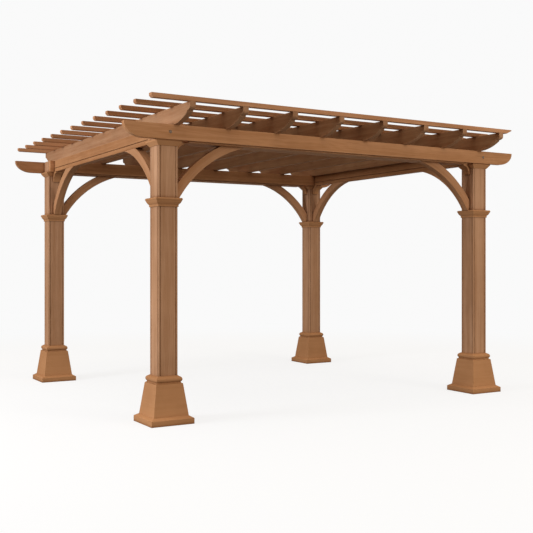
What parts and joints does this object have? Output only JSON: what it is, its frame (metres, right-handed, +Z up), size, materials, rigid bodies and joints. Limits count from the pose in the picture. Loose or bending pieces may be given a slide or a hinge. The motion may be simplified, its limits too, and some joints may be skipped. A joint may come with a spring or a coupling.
{
  "type": "wooden pergola",
  "caption": "Free-standing timber pergola: boxed posts on tapered plinths, arched knee braces, double-board beams, rafters with shaped tails and shade slats.",
  "frame": {"origin": "centre of the footprint at ground level", "axes": "+X along the long beams, +Y along the rafters towards the back, +Z up"},
  "size_m": [3.822, 3.49, 2.354],
  "materials": {
    "post_cedar": "semi-transparent reddish-brown stain, fine lengthwise grain",
    "trim_cedar": "semi-transparent reddish-brown stain on shaped mouldings",
    "brace_cedar": "semi-transparent reddish-brown stain, grain along the brace",
    "beam_cedar": "semi-transparent reddish-brown stain, grain along the board",
    "rafter_cedar": "semi-transparent reddish-brown stain, grain along the rafter",
    "slat_cedar": "semi-transparent reddish-brown stain, grain along the slat"
  },
  "bodies": {
    "root": {"post_front_left": "post_cedar", "plinth_front_left": "trim_cedar", "collar_front_left": "trim_cedar", "post_head_front_left": "trim_cedar", "brace_x_front_left": "brace_cedar", "brace_y_front_left": "brace_cedar", "post_front_right": "post_cedar", "plinth_front_right": "trim_cedar", "collar_front_right": "trim_cedar", "post_head_front_right": "trim_cedar", "brace_x_front_right": "brace_cedar", "brace_y_front_right": "brace_cedar", "post_back_left": "post_cedar", "plinth_back_left": "trim_cedar", "collar_back_left": "trim_cedar", "post_head_back_left": "trim_cedar", "brace_x_back_left": "brace_cedar", "brace_y_back_left": "brace_cedar", "post_back_right": "post_cedar", "plinth_back_right": "trim_cedar", "collar_back_right": "trim_cedar", "post_head_back_right": "trim_cedar", "brace_x_back_right": "brace_cedar", "brace_y_back_right": "brace_cedar", "front_beam_outer": "beam_cedar", "front_beam_inner": "beam_cedar", "front_soffit": "beam_cedar", "back_beam_outer": "beam_cedar", "back_beam_inner": "beam_cedar", "back_soffit": "beam_cedar", "left_beam": "beam_cedar", "left_beam_strip": "beam_cedar", "right_beam": "beam_cedar", "right_beam_strip": "beam_cedar", "rafter_1": "rafter_cedar", "rafter_2": "rafter_cedar", "rafter_3": "rafter_cedar", "rafter_4": "rafter_cedar", "rafter_5": "rafter_cedar", "rafter_6": "rafter_cedar", "rafter_7": "rafter_cedar", "rafter_8": "rafter_cedar", "slats": "slat_cedar"}
  },
  "joints": []
}
